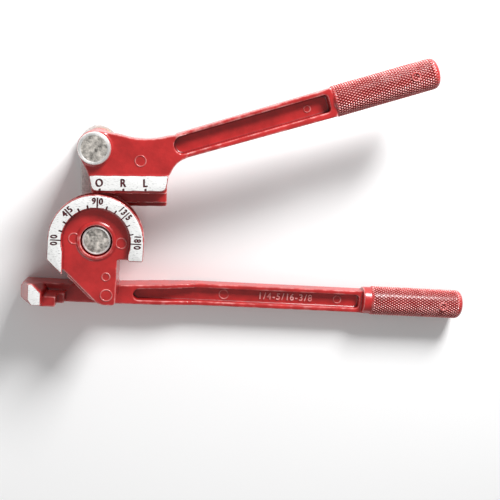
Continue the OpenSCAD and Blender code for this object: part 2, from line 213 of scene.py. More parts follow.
@dataclass(frozen=True)
class Finish:
    """A finish's name and its plain values; each kind of finish adds its own nodes."""

    name: str
    slot: str
    colour: Colour
    roughness: float

    def _start(self) -> tuple[Material, Tree, Node]:
        """Make an empty material.

        Returns:
            The material, its tree and its Principled node.
        """
        material = bpy.data.materials.new(self.name)
        material.use_nodes = True
        tree = material.node_tree
        return material, tree, tree.nodes["Principled BSDF"]

    @staticmethod
    def _mottle(tree: Tree, fine: float, coarse: float, mix: float) -> Node:
        """Place the mottle group in a material with its own values."""
        node = tree.nodes.new("ShaderNodeGroup")
        node.node_tree = Effects.mottle()
        for label, value in (("Fine", fine), ("Coarse", coarse), ("Mix", mix)):
            node.inputs[label].default_value = value
        return node

    @staticmethod
    def _ramp(tree: Tree, value: Socket, stops: Iterable[tuple[float, Colour]]) -> Socket:
        """Colour a value by a ramp.

        Args:
            tree: The material's tree.
            value: The socket to colour.
            stops: Position and colour of each stop, in order.

        Returns:
            The ramp's colour socket.
        """
        ramp = tree.nodes.new("ShaderNodeValToRGB")
        points = list(stops)
        while len(ramp.color_ramp.elements) < len(points):
            ramp.color_ramp.elements.new(0.5)
        for element, (position, colour) in zip(ramp.color_ramp.elements, points, strict=True):
            element.position = position
            element.color = (*colour, 1.0)
        tree.links.new(value, ramp.inputs["Fac"])
        return ramp.outputs["Color"]

    @staticmethod
    def _blend(tree: Tree, factor: Socket, a: Socket | Colour, b: Socket | Colour) -> Socket:
        """Blend two colours by a mask and return the colour socket."""
        mix = tree.nodes.new("ShaderNodeMix")
        mix.data_type = "RGBA"
        tree.links.new(factor, mix.inputs["Factor"])
        for socket, value in ((mix.inputs[6], a), (mix.inputs[7], b)):
            if isinstance(value, tuple):
                socket.default_value = (*value, 1.0)
            else:
                tree.links.new(value, socket)
        return mix.outputs[2]

    @staticmethod
    def _spread(tree: Tree, value: Socket, low: float, high: float) -> Socket:
        """Map a value in 0 to 1 onto low to high."""
        spread = tree.nodes.new("ShaderNodeMapRange")
        spread.inputs["To Min"].default_value = low
        spread.inputs["To Max"].default_value = high
        tree.links.new(value, spread.inputs["Value"])
        return spread.outputs["Result"]

    @staticmethod
    def _relief(tree: Tree, shader: Node, height: Socket, strength: float, depth: float) -> None:
        """Feed a height to the shader's normal through a bump."""
        bump = tree.nodes.new("ShaderNodeBump")
        bump.inputs["Strength"].default_value = strength
        bump.inputs["Distance"].default_value = depth
        tree.links.new(height, bump.inputs["Height"])
        tree.links.new(bump.outputs["Normal"], shader.inputs["Normal"])

    def build(self) -> Material:
        """Make the material."""
        raise NotImplementedError


@dataclass(frozen=True)
class Enamel(Finish):
    """Glossy baked enamel over a casting: pale on the edges, partly as thin worn paint and partly as a
    painted highlight, and painted shade in the hollows.
    """

    # pale edge colour: partly paint worn thin, partly a painted highlight
    edge: Colour = (0.92, 0.48, 0.46)
    # dark colour of painted shade in the hollows
    hollow_shade: Colour = (0.12, 0.004, 0.006)
    coat: float = 0.35
    coat_roughness: float = 0.12
    darker: float = 0.80
    lighter: float = 1.12
    fine: float = 620.0
    coarse: float = 95.0
    relief: float = 0.6
    depth: float = 0.0003

    def build(self) -> Material:
        """Make the enamel, with its orange peel, pale edges of wear and painted highlight, and painted shade
        in the hollows.
        """
        material, tree, shader = self._start()
        skin = self._mottle(tree, self.fine, self.coarse, 0.55)
        dark = tuple(c * self.darker for c in self.colour)
        light = tuple(min(1.0, c * self.lighter) for c in self.colour)
        body = self._ramp(tree, skin.outputs["Mask"], ((0.35, dark), (0.65, light)))
        edges = tree.nodes.new("ShaderNodeGroup")
        edges.node_tree = Effects.edges()
        # pale edges over the body: partly wear, partly a painted highlight
        worn_and_highlighted = self._blend(tree, edges.outputs["WearAndHighlight"], body, self.edge)
        # painted shade darkens the hollows
        whole = self._blend(tree, edges.outputs["HollowShade"], worn_and_highlighted, self.hollow_shade)
        tree.links.new(whole, shader.inputs["Base Color"])
        rough = self._spread(tree, skin.outputs["Mask"], self.roughness - 0.06, self.roughness + 0.10)
        tree.links.new(rough, shader.inputs["Roughness"])
        shader.inputs["Coat Weight"].default_value = self.coat
        shader.inputs["Coat Roughness"].default_value = self.coat_roughness
        shader.inputs["Specular IOR Level"].default_value = 0.5
        self._relief(tree, shader, skin.outputs["Height"], self.relief, self.depth)
        return material


@dataclass(frozen=True)
class GroundFace(Finish):
    """Casting ground bare on a belt: near-white, with fine grey specks and faint lines."""

    speck: Colour = (0.52, 0.52, 0.52)
    duller: float = 0.84
    metal: float = 0.35
    line_scale: tuple[float, float, float] = (700.0, 1700.0, 1700.0)
    relief: float = 0.25
    depth: float = 0.00008

    def build(self) -> Material:
        """Make the bare face, with its lines and specks."""
        material, tree, shader = self._start()
        place = tree.nodes.new("ShaderNodeTexCoord")
        stretch = tree.nodes.new("ShaderNodeMapping")
        stretch.inputs["Scale"].default_value = self.line_scale
        lines = tree.nodes.new("ShaderNodeTexNoise")
        lines.inputs["Scale"].default_value = 1.0
        lines.inputs["Detail"].default_value = 4.0
        tree.links.new(place.outputs["Object"], stretch.inputs["Vector"])
        tree.links.new(stretch.outputs["Vector"], lines.inputs["Vector"])
        pale = tuple(c * self.duller for c in self.colour)
        face = self._ramp(
            tree,
            lines.outputs["Fac"],
            ((0.30, self.speck), (0.37, pale), (0.50, self.colour), (0.66, self.colour)),
        )
        tree.links.new(face, shader.inputs["Base Color"])
        rough = self._spread(tree, lines.outputs["Fac"], self.roughness + 0.15, self.roughness - 0.1)
        tree.links.new(rough, shader.inputs["Roughness"])
        shader.inputs["Metallic"].default_value = self.metal
        self._relief(tree, shader, lines.outputs["Fac"], self.relief, self.depth)
        return material


@dataclass(frozen=True)
class Figure(Finish):
    """Enamel left in the bottom of a cast figure: dark and dull, with a dusty variation."""

    lighter: float = 1.8
    fine: float = 1500.0
    coarse: float = 420.0
    relief: float = 0.3
    depth: float = 0.0001

    def build(self) -> Material:
        """Make the dull dark enamel."""
        material, tree, shader = self._start()
        skin = self._mottle(tree, self.fine, self.coarse, 0.4)
        light = tuple(c * self.lighter for c in self.colour)
        tone = self._ramp(tree, skin.outputs["Mask"], ((0.35, self.colour), (0.7, light)))
        tree.links.new(tone, shader.inputs["Base Color"])
        rough = self._spread(tree, skin.outputs["Height"], self.roughness - 0.1, self.roughness + 0.2)
        tree.links.new(rough, shader.inputs["Roughness"])
        self._relief(tree, shader, skin.outputs["Height"], self.relief, self.depth)
        return material


@dataclass(frozen=True)
class Steel(Finish):
    """Plated or bare metal with a mottled tone, fine scratches and a varied sheen."""

    metal: float = 1.0
    fine: float = 900.0
    coarse: float = 220.0
    relief: float = 0.3
    depth: float = 0.0001
    contrast: float = 0.35

    def build(self) -> Material:
        """Make the metal, with its mottle and relief."""
        material, tree, shader = self._start()
        skin = self._mottle(tree, self.fine, self.coarse, 0.5)
        dark = tuple(c * (1.0 - self.contrast) for c in self.colour)
        light = tuple(min(1.0, c * (1.0 + self.contrast)) for c in self.colour)
        tone = self._ramp(tree, skin.outputs["Height"], ((0.36, dark), (0.50, self.colour), (0.64, light)))
        tree.links.new(tone, shader.inputs["Base Color"])
        rough = self._spread(tree, skin.outputs["Mask"], self.roughness - 0.12, self.roughness + 0.18)
        tree.links.new(rough, shader.inputs["Roughness"])
        shader.inputs["Metallic"].default_value = self.metal
        self._relief(tree, shader, skin.outputs["Height"], self.relief, self.depth)
        return material


@dataclass(frozen=True)
class StudioFloor(Finish):
    """Plain pale floor with a barely visible unevenness."""

    def build(self) -> Material:
        """Make the floor's material."""
        material, tree, shader = self._start()
        skin = self._mottle(tree, 60.0, 4.0, 0.5)
        dim = tuple(c * 0.985 for c in self.colour)
        tone = self._ramp(tree, skin.outputs["Mask"], ((0.3, dim), (0.7, self.colour)))
        tree.links.new(tone, shader.inputs["Base Color"])
        shader.inputs["Roughness"].default_value = self.roughness
        shader.inputs["Specular IOR Level"].default_value = 0.2
        return material


class Finishes:
    """Every finish of the tool, each made once when it is first asked for."""

    ENAMEL = Enamel("red_enamel", "red_casting", (0.44, 0.018, 0.018), 0.30)
    GROUND = GroundFace("ground_face", "red_casting", (0.92, 0.92, 0.91), 0.55)
    FIGURE = Figure("figure_enamel", "red_casting", (0.060, 0.006, 0.010), 0.55)
    PIN_FACE = Steel(
        "pin_forged_face", "pin_steel", (0.48, 0.45, 0.41), 0.40,
        metal=0.5, fine=620.0, coarse=300.0, relief=1.0, depth=0.0005, contrast=0.7,
    )
    PIN_RIM = Steel(
        "pin_bright_rim", "pin_steel", (0.80, 0.79, 0.77), 0.32,
        metal=0.6, fine=1400.0, coarse=300.0, relief=0.15, depth=0.00005, contrast=0.15,
    )
    LINK = Steel(
        "link_zinc", "link_steel", (0.72, 0.71, 0.69), 0.42,
        metal=0.4, fine=1100.0, coarse=140.0, relief=0.25, depth=0.00008, contrast=0.22,
    )
    BRONZE = Steel(
        "washer_bronze", "washer_bronze", (0.44, 0.27, 0.11), 0.40,
        fine=1300.0, coarse=260.0, relief=0.25, depth=0.00006, contrast=0.25,
    )
    WASHER = Steel(
        "washer_zinc", "washer_steel", (0.55, 0.55, 0.54), 0.34,
        fine=1300.0, coarse=260.0, relief=0.2, depth=0.00006, contrast=0.2,
    )
    CLIP = Steel(
        "clip_black", "clip_steel", (0.045, 0.045, 0.05), 0.36,
        metal=0.8, fine=1500.0, coarse=300.0, relief=0.2, depth=0.00005,
    )
    FLOOR = StudioFloor("studio_floor", "", (0.93, 0.93, 0.93), 0.8)

    _made: dict[str, Material] = {}

    @classmethod
    def of(cls, finish: Finish) -> Material:
        """The finish's material, built on first use."""
        if finish.name not in cls._made:
            cls._made[finish.name] = finish.build()
        return cls._made[finish.name]


# -------------------- modelling helpers


def clear_selection() -> None:
    """Leave edit mode and deselect every object."""
    if bpy.context.object and bpy.context.object.mode != "OBJECT":
        bpy.ops.object.mode_set(mode="OBJECT")
    bpy.ops.object.select_all(action="DESELECT")


def activate(piece: Piece) -> Piece:
    """Make a piece the only selected and the active object."""
    clear_selection()
    piece.select_set(True)
    bpy.context.view_layer.objects.active = piece
    return piece


def edit_all(piece: Piece, work: Callable[[], None]) -> None:
    """Run a step in edit mode with all of a piece selected.

    Args:
        piece: The piece to edit.
        work: The operators to run.
    """
    activate(piece)
    bpy.ops.object.mode_set(mode="EDIT")
    bpy.ops.mesh.select_all(action="SELECT")
    work()
    bpy.ops.object.mode_set(mode="OBJECT")


def close_up(piece: Piece, distance: float = 1e-6) -> None:
    """Merge a piece's doubles and turn its faces outwards."""
    def work() -> None:
        """Merge, then recalculate the normals."""
        bpy.ops.mesh.remove_doubles(threshold=distance)
        bpy.ops.mesh.normals_make_consistent(inside=False)

    edit_all(piece, work)


def finish_modifier(piece: Piece, kind: str, **settings: object) -> None:
    """Add a modifier with settings and apply it at once."""
    activate(piece)
    modifier = piece.modifiers.new(kind.lower(), kind)
    for key, value in settings.items():
        setattr(modifier, key, value)
    bpy.ops.object.modifier_apply(modifier=modifier.name)


def new_piece(name: str) -> Piece:
    """Name the active object, which a primitive operator has just made."""
    piece = bpy.context.object
    piece.name = name
    piece.data.name = name
    return piece


def settle(piece: Piece) -> Piece:
    """Put a piece's place into its mesh, so that its object is at the origin."""
    activate(piece)
    bpy.ops.object.transform_apply(location=True, rotation=True, scale=True)
    return piece


def place(piece: Piece, matrix: Matrix) -> Piece:
    """Move a settled piece's mesh by a matrix."""
    piece.data.transform(matrix)
    piece.data.update()
    return piece


def join(pieces: list[Piece], name: str) -> Piece:
    """Join pieces into one object.

    Args:
        pieces: The pieces; the first keeps its materials first.
        name: The joined piece's name.

    Returns:
        The joined piece.
    """
    activate(pieces[0])
    for piece in pieces[1:]:
        piece.select_set(True)
    if len(pieces) > 1:
        bpy.ops.object.join()
    return new_piece(name)


def shade(piece: Piece, degrees: float = 32.0) -> None:
    """Shade a piece smooth, with edges sharper than an angle left crisp."""
    activate(piece)
    bpy.ops.object.shade_smooth_by_angle(angle=math.radians(degrees))


def paint(piece: Piece, *finishes: Finish) -> None:
    """Give a piece its finishes, in slot order."""
    piece.data.materials.clear()
    for finish in finishes:
        piece.data.materials.append(Finishes.of(finish))


def measure_curvature(piece: Piece, rounds: int = 2, gain: float = 1.6) -> None:
    """Write how far each point stands out of its neighbours as an attribute, 0.5 where flat.

    Args:
        piece: The piece to measure.
        rounds: How many times the measure is spread to its neighbours.
        gain: How strongly a bend shows in the attribute.
    """
    mesh = piece.data
    count = len(mesh.vertices)
    points, normals = np.empty((count, 3)), np.empty((count, 3))
    mesh.vertices.foreach_get("co", points.ravel())
    mesh.vertices.foreach_get("normal", normals.ravel())
    pairs = np.empty(len(mesh.edges) * 2, dtype=np.int64)
    mesh.edges.foreach_get("vertices", pairs)
    a, b = pairs.reshape(-1, 2).T
    span = points[b] - points[a]
    length = np.maximum(np.linalg.norm(span, axis=1), 1e-9)
    bend_a = -(span * normals[a]).sum(1) / length
    bend_b = (span * normals[b]).sum(1) / length
    total = np.bincount(a, bend_a, count) + np.bincount(b, bend_b, count)
    uses = np.maximum(np.bincount(a, minlength=count) + np.bincount(b, minlength=count), 1)
    value = total / uses
    for _ in range(rounds):
        near = np.bincount(a, value[b], count) + np.bincount(b, value[a], count)
        value = 0.5 * value + 0.5 * near / uses
    value = np.clip(0.5 + gain * value, 0.0, 1.0)
    layer = mesh.attributes.new("curvature", "FLOAT", "POINT")
    layer.data.foreach_set("value", value.astype(np.float32))


def even_curvature(piece: Piece, value: float) -> None:
    """Give a small bead or figure one even value of the curvature attribute, which sets how much of the
    enamel's pale edge colour, part wear and part painted highlight, it shows.
    """
    layer = piece.data.attributes.new("curvature", "FLOAT", "POINT")
    layer.data.foreach_set("value", np.full(len(piece.data.vertices), value, dtype=np.float32))


def cut(piece: Piece, tool: Piece) -> None:
    """Cut a closed tool out of a piece and delete the tool.

    Args:
        piece: The piece that is cut.
        tool: The tool; the cut faces take its material.
    """
    finish_modifier(
        piece, "BOOLEAN", operation="DIFFERENCE", object=tool,
        solver="MANIFOLD", material_mode="TRANSFER",
    )
    bpy.data.objects.remove(tool, do_unlink=True)


def block(name: str, low: Vector, high: Vector) -> Piece:
    """A plain cutting block between two corners; it is a tool and never a finished piece."""
    clear_selection()
    bpy.ops.mesh.primitive_cube_add(size=1.0, location=(low + high) / 2)
    piece = new_piece(name)
    piece.scale = high - low
    return settle(piece)


# -------------------- marks


@dataclass
class Mark:
    """One figure or letter, laid flat in its face's own frame, in millimetres."""

    text: str
    x: float
    y: float
    size: float
    turn: float = 0.0
    width: float = 0.84
    boldness: float = 0.09
    curve_steps: int = 6

    def lay(self, depth: float, z: float) -> Piece:
        """Model the mark as a closed solid.

        Args:
            depth: Half its thickness, in metres.
            z: Height of its middle, in metres.

        Returns:
            The solid, placed in its face's frame.
        """
        clear_selection()
        bpy.ops.object.text_add()
        piece = bpy.context.object
        piece.data.body = self.text
        piece.data.align_x = "CENTER"
        piece.data.align_y = "CENTER"
        piece.data.size = self.size * MM
        piece.data.extrude = depth
        piece.data.offset = self.boldness * MM
        piece.data.resolution_u = self.curve_steps
        activate(piece)
        bpy.ops.object.convert(target="MESH")
        piece = new_piece("mark")
        close_up(piece, 2e-6)
        stretch = Matrix.Diagonal((self.width, 1.0, 1.0, 1.0))
        turn = Matrix.Rotation(math.radians(self.turn), 4, "Z")
        return place(piece, Matrix.Translation((self.x * MM, self.y * MM, z)) @ turn @ stretch)


@dataclass
class Line:
    """A straight mark between two points of its face's own frame, in millimetres."""

    start: tuple[float, float]
    end: tuple[float, float]
    width: float = 0.6
    bevel: float = 0.08

    def lay(self, depth: float, z: float) -> Piece:
        """Model the line as a thin block with bevelled ends.

        Args:
            depth: Half its thickness, in metres.
            z: Height of its middle, in metres.

        Returns:
            The solid, placed in its face's frame.
        """
        a, b = Vector(self.start) * MM, Vector(self.end) * MM
        run = b - a
        piece = block(
            "line",
            Vector((0.0, -self.width * MM / 2, -depth)),
            Vector((run.length, self.width * MM / 2, depth)),
        )
        finish_modifier(piece, "BEVEL", width=self.bevel * MM, segments=1, limit_method="ANGLE")
        turn = Matrix.Rotation(math.atan2(run.y, run.x), 4, "Z")
        return place(piece, Matrix.Translation((a.x, a.y, z)) @ turn)


def lay_marks(marks: Iterable[Mark | Line], depth: float, z: float, finish: Finish, where: Matrix) -> Piece:
    """Lay several marks as one tool.

    Args:
        marks: The marks and lines.
        depth: Half their thickness, in metres.
        z: Height of their middle, in metres.
        finish: The finish of their faces.
        where: The face's frame.

    Returns:
        One object that holds them all.
    """
    solids = [mark.lay(depth, z) for mark in marks]
    whole = join(solids, "marks")
    paint(whole, finish)
    return place(whole, where)


BEND_FIGURES = {0: ("0", "0"), 45: ("4", "5"), 90: ("9", "0"), 135: ("13", "5"), 180: ("18", "0")}


@dataclass
class DialScale:
    """The wheel's scale: figures on either side of a line every 45 degrees of bend, with ticks between."""

    ring: float
    rim: float
    tick_step: int = 15
    root: float = 0.3
    tick_length: float = 2.1
    tick_width: float = 0.6
    line_margin: float = 1.5
    line_width: float = 0.5
    spread: float = 0.6
    figure_size: float = 4.9
    figure_r: float = 22.3
    figure_gap: float = 1.9
    figure_pitch: float = 2.2

    def marks(self) -> list[Mark | Line]:
        """The scale's marks, in the wheel's frame, in millimetres."""
        found: list[Mark | Line] = []
        for bend in range(0, 181, self.tick_step):
            angle = math.radians(180 - bend)
            out = Vector((math.cos(angle), math.sin(angle)))
            along = Vector((math.sin(angle), -math.cos(angle)))
            long_mark = bend in BEND_FIGURES
            end = self.rim - self.line_margin if long_mark else self.ring + self.tick_length
            width = self.line_width if long_mark else self.tick_width
            found.append(Line(tuple(out * (self.ring - self.root)), tuple(out * end), width))
            if not long_mark:
                continue
            turn = math.degrees(angle) - 90
            for text, side in zip(BEND_FIGURES[bend], (-1, 1), strict=True):
                for i, figure in enumerate(text[::side]):
                    gap = self.figure_gap + i * self.figure_pitch
                    middle = out * math.hypot(self.figure_r, self.spread * gap) + along * side * gap
                    found.append(Mark(figure, middle.x, middle.y, self.figure_size, turn))
        return found


@dataclass
class ShoeScale:
    """The shoe's index marks: a nought and the right-hand and left-hand letters, each over a tick."""

    sole: float
    places: dict[str, float] = field(default_factory=lambda: {"O": 2.2, "R": 14.9, "L": 26.8})
    size: float = 6.0
    rise: float = 4.4
    tick_shift: float = 0.2
    tick_root: float = 0.3
    tick_length: float = 1.5
    tick_width: float = 0.8

    def marks(self) -> list[Mark | Line]:
        """The marks, in the shoe's frame, in millimetres."""
        found: list[Mark | Line] = []
        for text, x in self.places.items():
            found.append(Mark(text, x, self.sole + self.rise, self.size))
            tick = x + self.tick_shift
            start, end = self.sole - self.tick_root, self.sole + self.tick_length
            found.append(Line((tick, start), (tick, end), self.tick_width))
        return found


# -------------------- knurled grips


@dataclass
class KnurledGrip:
    """A grip along +X from its start: a round bar with a rounded end, cut over with soft diamonds."""

    name: str
    body: str
    where: Matrix
    length: float
    radius: float
    end_r: float = 4.0
    around: int = 34
    pitch: float = 2.7
    depth: float = 0.75
    slope: float = 1.35
    start_fade: tuple[float, float] = (0.6, 1.2)
    end_fade: tuple[float, float] = (1.0, 1.4)
    end_share: tuple[float, float] = (0.7, 0.14)
    cuts: int = 8
    end_steps: int = 10
    overlap: float = 1.0
    reach: float = 10.0

    def clearance(self) -> Piece:
        """A block that takes the plain grip off its casting, a little past the start."""
        wide = self.radius * 1.6 * MM
        tool = block(
            "clearance",
            Vector((self.overlap * MM, -wide, -wide)),
            Vector(((self.length + self.reach) * MM, wide, wide)),
        )
        paint(tool, Finishes.ENAMEL)
        return place(tool, self.where)

    @staticmethod
    def _fade(distance: float, run: float) -> float:
        """Share of the knurl's depth at a distance into a stretch where it comes in."""
        return min(1.0, max(0.0, distance / run))

    def _outline(self) -> list[tuple[float, float, float]]:
        """Distance along, radius and share of the knurl's depth, from the start to the flat end."""
        straight = self.length - self.end_r
        chamfer = self.end_r / 2
        steps = round(straight / self.pitch * self.cuts)
        found = []
        for i in range(steps + 1):
            x = straight * i / steps
            (early, rise), (late, fall) = self.start_fade, self.end_fade
            share = self._fade(x - chamfer + early, rise) * self._fade(straight + late - x, fall)
            found.append((x, self.radius - max(0.0, chamfer - x), share))
        for i in range(1, self.end_steps + 1):
            a = math.radians(90 * i / self.end_steps)
            share = max(0.0, self.end_share[0] - self.end_share[1] * i)
            radius = self.radius - self.end_r * (1 - math.cos(a))
            found.append((straight + self.end_r * math.sin(a), radius, share))
        return found

    def build(self) -> Piece:
        """Lay a sheet of diamonds, wrap it round the grip's outline and close its ends.

        Returns:
            The finished grip, riding on its body.
        """
        outline = self._outline()
        columns = self.around * self.cuts
        clear_selection()
        bpy.ops.mesh.primitive_grid_add(x_subdivisions=len(outline) - 1, y_subdivisions=columns, size=1.0)
        piece = new_piece(self.name)
        last = len(outline) - 1
        for vertex in piece.data.vertices:
            row = outline[round((vertex.co.x + 0.5) * last)]
            vertex.co = self._wrap(row, (vertex.co.y + 0.5) * self.around)
        close_up(piece, 1e-6)
        self._cap(piece)
        close_up(piece, 1e-6)
        place(piece, self.where)
        # the curvature gives the knurl's diamond tips pale enamel, partly painted highlight, and its grooves
        # painted shade
        measure_curvature(piece, 2, 1.5)
        paint(piece, Finishes.ENAMEL)
        shade(piece, 50)
        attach(piece, self.body)
        LOG.info("%s: %d faces", piece.name, len(piece.data.polygons))
        return piece

    def _wrap(self, row: tuple[float, float, float], q: float) -> Vector:
        """Where a point of the flat sheet lies on the knurled bar.

        Args:
            row: Distance along, radius and share of the knurl's depth.
            q: Diamonds counted around the bar.

        Returns:
            The point in the grip's frame, in metres.
        """
        x, radius, share = row
        p = x / self.pitch
        across = abs(((p + q) % 1.0) - 0.5) * 2.0
        along = abs(((p - q) % 1.0) - 0.5) * 2.0
        groove = 1.0 - min(1.0, self.slope * min(1.0 - across, 1.0 - along))
        r = (radius - self.depth * groove * share) * MM
        turn = 2.0 * math.pi * q / self.around
        return Vector((x * MM, r * math.cos(turn), r * math.sin(turn)))

    def _cap(self, piece: Piece) -> None:
        """Close both ends with flat faces."""
        shape = bmesh.new()
        shape.from_mesh(piece.data)
        rims: dict[bool, list[bmesh.types.BMEdge]] = {True: [], False: []}
        for edge in shape.edges:
            if edge.is_boundary:
                rims[edge.verts[0].co.x > self.length * MM / 2].append(edge)
        for edges in rims.values():
            bmesh.ops.holes_fill(shape, edges=edges, sides=0)
        shape.to_mesh(piece.data)
        shape.free()


# -------------------- castings


@dataclass
class EjectorRing:
    """The raised ring that an ejector pin leaves on a casting, in millimetres."""

    x: float
    y: float
    z: float
    radius: float
    bead: float = 0.38
    flattening: float = 0.8

    def model(self) -> Piece:
        """Model the ring as a low rounded bead."""
        clear_selection()
        bpy.ops.mesh.primitive_torus_add(
            major_radius=self.radius * MM,
            minor_radius=self.bead * MM,
            major_segments=48,
            minor_segments=10,
        )
        piece = new_piece("ejector_ring")
        edit_all(piece, lambda: bpy.ops.transform.resize(value=(1.0, 1.0, self.flattening)))
        return place(piece, Matrix.Translation((self.x * MM, self.y * MM, self.z * MM)))


@dataclass
class Casting:
    """A die-cast handle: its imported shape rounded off, ground flat where it works, and marked."""

    node: str
    body: str
    where: Matrix
    ground: list[tuple[Vector, Vector]]
    recessed: list[Mark | Line]
    recessed_z: float
    rings: list[EjectorRing]
    raised: list[Mark | Line] = field(default_factory=list)
    raised_z: float = 0.0
    grip: KnurledGrip | None = None
    voxel: float = 0.00048
    soften: int = 5
    triangles: int = 150_000
    mark_depth: float = 0.00035
    mark_spread: float = 0.0002
    # curvature values that set how much pale edge colour, partly painted highlight, the raised figures and
    # ejector rings show
    figure_shine: float = 0.74
    ring_shine: float = 0.67

    def _round_off(self) -> Piece:
        """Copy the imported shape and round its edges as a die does.

        Returns:
            The softened copy.
        """
        mesh = frame["nodes"][self.node].data.copy()
        piece = bpy.data.objects.new(f"{self.node}_casting", mesh)
        bpy.context.scene.collection.objects.link(piece)
        piece.data.materials.clear()
        close_up(piece)
        finish_modifier(piece, "REMESH", mode="VOXEL", voxel_size=self.voxel, adaptivity=0.0)
        finish_modifier(piece, "SMOOTH", factor=0.5, iterations=self.soften)
        return piece

    def _thin(self, piece: Piece) -> None:
        """Bring the piece down to its share of triangles, flat faces first."""
        piece.data.calc_loop_triangles()
        share = self.triangles / max(len(piece.data.loop_triangles), 1)
        if share < 1.0:
            finish_modifier(piece, "DECIMATE", decimate_type="COLLAPSE", ratio=share)

    def build(self) -> Piece:
        """Model, grind, mark and dress the casting.

        Returns:
            The finished piece, riding on its body.
        """
        piece = self._round_off()
        if self.grip:
            cut(piece, self.grip.clearance())
        self._thin(piece)
        # the curvature drives the enamel's pale edges, partly wear and partly painted highlight, and its
        # painted shade in hollows
        measure_curvature(piece)
        paint(piece, Finishes.ENAMEL)
        for low, high in self.ground:
            wheel = block("grinding_wheel", low, high)
            place(wheel, self.where)
            paint(wheel, Finishes.GROUND)
            cut(piece, wheel)
        for shift in (-self.mark_spread, self.mark_spread):
            where = self.where @ Matrix.Translation((shift, 0.5 * shift, 0.0))
            marks = lay_marks(self.recessed, self.mark_depth, self.recessed_z, Finishes.FIGURE, where)
            cut(piece, marks)
        shade(piece)
        extras = [piece]
        if self.raised:
            figures = lay_marks(self.raised, self.mark_depth, self.raised_z, Finishes.ENAMEL, self.where)
            # an even curvature gives the raised figures pale enamel, partly wear and partly painted
            # highlight
            even_curvature(figures, self.figure_shine)
            extras.append(figures)
        for ring in self.rings:
            bead = place(ring.model(), self.where)
            paint(bead, Finishes.ENAMEL)
            # the same for each ring: pale enamel, partly wear and partly painted highlight
            even_curvature(bead, self.ring_shine)
            shade(bead, 60)
            extras.append(bead)
        whole = join(extras, f"{self.node}_casting")
        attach(whole, self.body)
        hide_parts(self.node)
        LOG.info("%s: %d faces", whole.name, len(whole.data.polygons))
        return whole


# -------------------- pins and pressed pieces


@dataclass
class HeadedPin:
    """A forged pin with a rough face inside a bright turned rim, standing on the rest plane."""

    node: str
    body: str
    where: Matrix
    head_r: float
    head_t: float
    top: float
    rim: float
    dish: float = 0.22
    shank_r: float = 6.0
    groove: tuple[float, float] = (1.55, 2.85)
    steps: int = 96
    bumps: float = 0.16
    chamfer: float = 0.6
    groove_depth: float = 1.0
    ease: float = 0.25
    rim_curve: tuple[tuple[float, float], ...] = ((0.0, 1.0), (0.12, 0.6), (0.40, 0.18), (1.0, 0.0))
    lip: tuple[float, float] = (0.35, 0.10)
    step: float = 0.6
    face_rings: int = 12
    grain: float = 420.0
    fade: float = 6.0

    def _profile(self) -> list[tuple[float, float]]:
        """The pin's outline from its tail up to the rim, as radius and height in millimetres."""
        low, high = self.groove
        seat = self.top - self.head_t
        shank, neck = self.shank_r, self.shank_r - self.groove_depth
        return [
            (0.0, 0.0),
            (shank - self.chamfer, 0.0),
            (shank, self.chamfer),
            (shank, low),
            (neck, low),
            (neck, high),
            (shank, high),
            (shank, seat),
            (self.head_r - self.ease, seat),
            (self.head_r, seat + self.ease),
            *((self.head_r - a * self.rim, self.top - b * self.rim) for a, b in self.rim_curve),
            (self.head_r - self.rim - self.lip[0], self.top - self.lip[1]),
            (self.head_r - self.rim - self.step, self.top - self.dish),
        ]

    def build(self) -> Piece:
        """Spin the outline, then hammer its face.

        Returns:
            The finished pin, riding on its body.
        """
        outline = self._profile()
        face_r = outline[-1][0]
        rings = self.face_rings
        outline += [(face_r * (1 - i / rings), self.top - self.dish) for i in range(1, rings + 1)]
        clear_selection()
        bpy.ops.mesh.primitive_plane_add(size=1.0)
        piece = new_piece(f"{self.node}_forged")
        shape = bmesh.new()
        points = [shape.verts.new((r * MM, 0.0, z * MM)) for r, z in outline]
        for a, b in zip(points, points[1:]):
            shape.edges.new((a, b))
        shape.to_mesh(piece.data)
        shape.free()
        edit_all(
            piece,
            lambda: bpy.ops.mesh.spin(steps=self.steps, angle=2 * math.pi, center=(0, 0, 0), axis=(0, 0, 1)),
        )
        close_up(piece, 1e-6)
        self._hammer(piece, face_r * MM)
        paint(piece, Finishes.PIN_RIM, Finishes.PIN_FACE)
        for face in piece.data.polygons:
            middle = face.center
            if middle.z > (self.top - self.dish - 0.4) * MM and middle.to_2d().length < face_r * MM:
                face.material_index = 1
        place(piece, self.where)
        shade(piece, 28)
        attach(piece, self.body)
        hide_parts(self.node)
        LOG.info("%s: %d faces", piece.name, len(piece.data.polygons))
        return piece

    def _hammer(self, piece: Piece, face_r: float) -> None:
        """Raise and dent the head's face by smooth noise, less towards its rim."""
        for vertex in piece.data.vertices:
            out = vertex.co.to_2d().length
            if vertex.co.z < (self.top - self.dish - 0.05) * MM or out > face_r:
                continue
            spot = Vector((vertex.co.x, vertex.co.y, 0.003 * len(self.node))) * self.grain
            rise = noise.fractal(spot, 0.9, 2.1, 3)
            vertex.co.z += rise * self.bumps * MM * min(1.0, (face_r - out) / face_r * self.fade)


